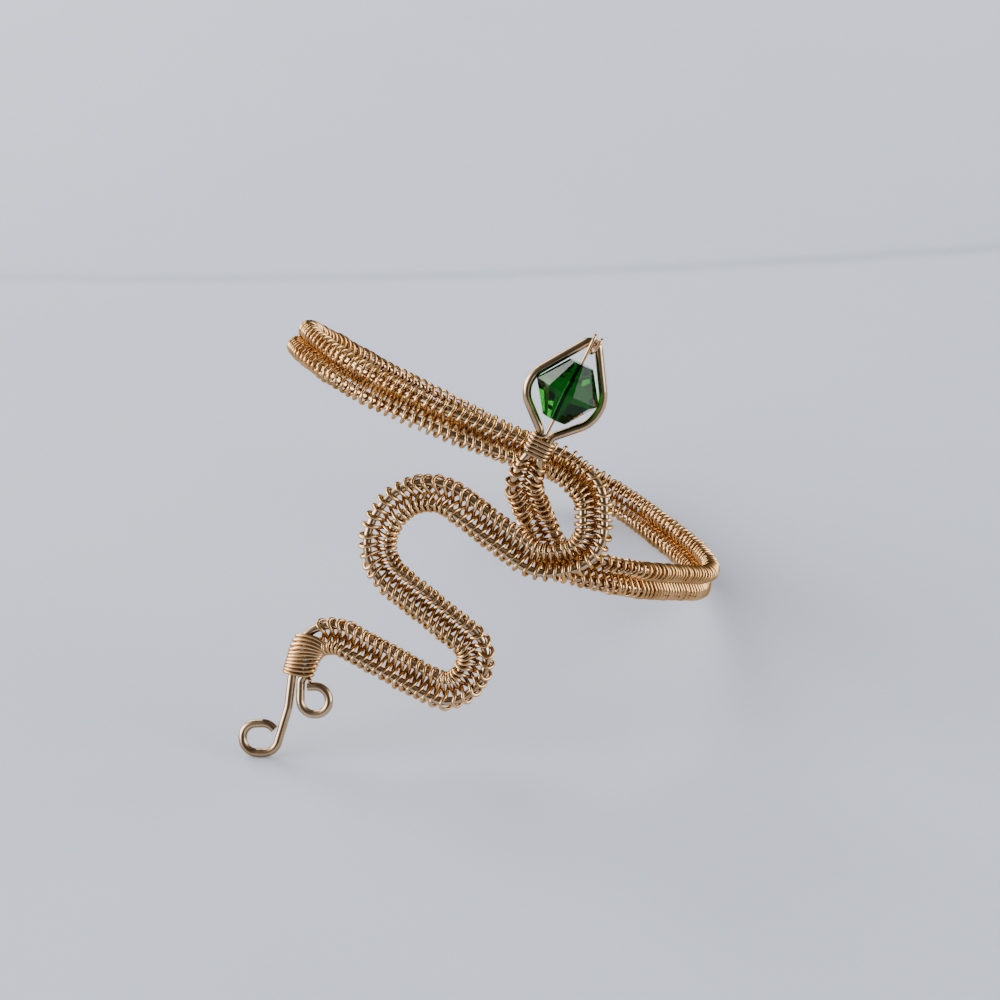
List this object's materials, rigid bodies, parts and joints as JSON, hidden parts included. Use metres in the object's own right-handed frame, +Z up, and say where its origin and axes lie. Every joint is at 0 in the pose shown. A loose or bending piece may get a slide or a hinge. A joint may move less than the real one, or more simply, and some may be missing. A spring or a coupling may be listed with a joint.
{
  "type": "snake bracelet",
  "caption": "Snake-shaped wire bracelet with a woven band, curled tail ends, a small loop at the neck and a faceted bead held in a teardrop wire frame as its head.",
  "frame": {"origin": "middle of the bounding box on the table that the bracelet lies on", "axes": "+Z up; +Y away from the viewer across the ring, the longest extent; +X to the viewer's right. The arm's axis leans through the ring along (0.510, 0.276, 0.815)"},
  "size_m": [0.059, 0.0686, 0.0469],
  "materials": {
    "core_wire": "polished light gold wire",
    "weave": "fine polished light gold wire, woven",
    "bead": "polished, dark green, faceted",
    "bead_wire": "fine polished light gold wire"
  },
  "bodies": {
    "root": {"core_wire": "core_wire", "woven_band": "weave", "bead": "bead", "bead_wire": "bead_wire"}
  },
  "joints": []
}
